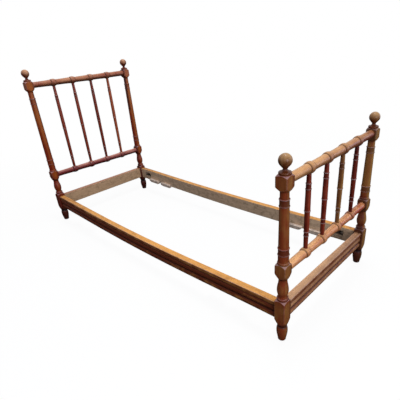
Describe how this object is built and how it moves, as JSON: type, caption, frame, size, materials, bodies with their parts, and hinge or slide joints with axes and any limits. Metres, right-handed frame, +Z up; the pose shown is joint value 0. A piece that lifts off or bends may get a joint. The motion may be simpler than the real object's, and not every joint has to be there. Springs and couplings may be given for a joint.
{
  "type": "bed frame",
  "caption": "Single bed frame in turned wood carved as bamboo, with ball finials, spindled head and foot, and moulded rails bolted to the posts.",
  "frame": {"origin": "on the floor under the middle of the bed's length and width", "axes": "+X runs from the headboard to the footboard, +Y to the sleeper's left, +Z up"},
  "size_m": [2.064, 0.81, 1.0915],
  "materials": {
    "post_wood": "turned and varnished dark red-brown wood",
    "finial_wood": "turned and varnished golden brown wood",
    "bamboo_rail_wood": "turned and varnished tan wood with scored nodes",
    "spindle_wood": "turned and varnished mahogany red wood",
    "moulded_rail_wood": "moulded and varnished outside, raw inside",
    "cleat_wood": "sawn and unfinished",
    "bolt_steel": "zinc-plated and dulled",
    "screw_steel": "dark and dulled"
  },
  "bodies": {
    "bedstead": {"cleat_screws_left": "screw_steel", "cleat_screws_right": "screw_steel", "foot_cross_rail": "moulded_rail_wood", "foot_finial_left": "finial_wood", "foot_finial_right": "finial_wood", "foot_inner_cleat_left": "cleat_wood", "foot_inner_cleat_right": "cleat_wood", "foot_lower_rail": "bamboo_rail_wood", "foot_outer_cleat_left": "cleat_wood", "foot_outer_cleat_right": "cleat_wood", "foot_post_left": "post_wood", "foot_post_right": "post_wood", "foot_spindle_1": "spindle_wood", "foot_spindle_2": "spindle_wood", "foot_spindle_3": "spindle_wood", "foot_spindle_4": "spindle_wood", "foot_stud_left": "bolt_steel", "foot_stud_right": "bolt_steel", "foot_top_rail": "bamboo_rail_wood", "foot_washer_left": "bolt_steel", "foot_washer_right": "bolt_steel", "head_cross_rail": "moulded_rail_wood", "head_finial_left": "finial_wood", "head_finial_right": "finial_wood", "head_inner_cleat_left": "cleat_wood", "head_inner_cleat_right": "cleat_wood", "head_lower_rail": "bamboo_rail_wood", "head_outer_cleat_left": "cleat_wood", "head_outer_cleat_right": "cleat_wood", "head_post_left": "post_wood", "head_post_right": "post_wood", "head_spindle_1": "spindle_wood", "head_spindle_2": "spindle_wood", "head_spindle_3": "spindle_wood", "head_spindle_4": "spindle_wood", "head_stud_left": "bolt_steel", "head_stud_right": "bolt_steel", "head_top_rail": "bamboo_rail_wood", "head_washer_left": "bolt_steel", "head_washer_right": "bolt_steel", "side_rail_left": "moulded_rail_wood", "side_rail_right": "moulded_rail_wood"},
    "head_left_nut": {"head_nut_left": "bolt_steel"},
    "head_right_nut": {"head_nut_right": "bolt_steel"},
    "foot_left_nut": {"foot_nut_left": "bolt_steel"},
    "foot_right_nut": {"foot_nut_right": "bolt_steel"}
  },
  "joints": [
    {"name": "head_left_nut_turn", "type": "hinge", "parent": "bedstead", "child": "head_left_nut", "pos_m": [-0.9137, 0.375, 0.161], "axis": [-1, 0, 0], "continuous": true},
    {"name": "head_right_nut_turn", "type": "hinge", "parent": "bedstead", "child": "head_right_nut", "pos_m": [-0.9137, -0.375, 0.161], "axis": [-1, 0, 0], "continuous": true},
    {"name": "foot_left_nut_turn", "type": "hinge", "parent": "bedstead", "child": "foot_left_nut", "pos_m": [0.9137, 0.375, 0.161], "axis": [1, 0, 0], "continuous": true},
    {"name": "foot_right_nut_turn", "type": "hinge", "parent": "bedstead", "child": "foot_right_nut", "pos_m": [0.9137, -0.375, 0.161], "axis": [1, 0, 0], "continuous": true}
  ]
}
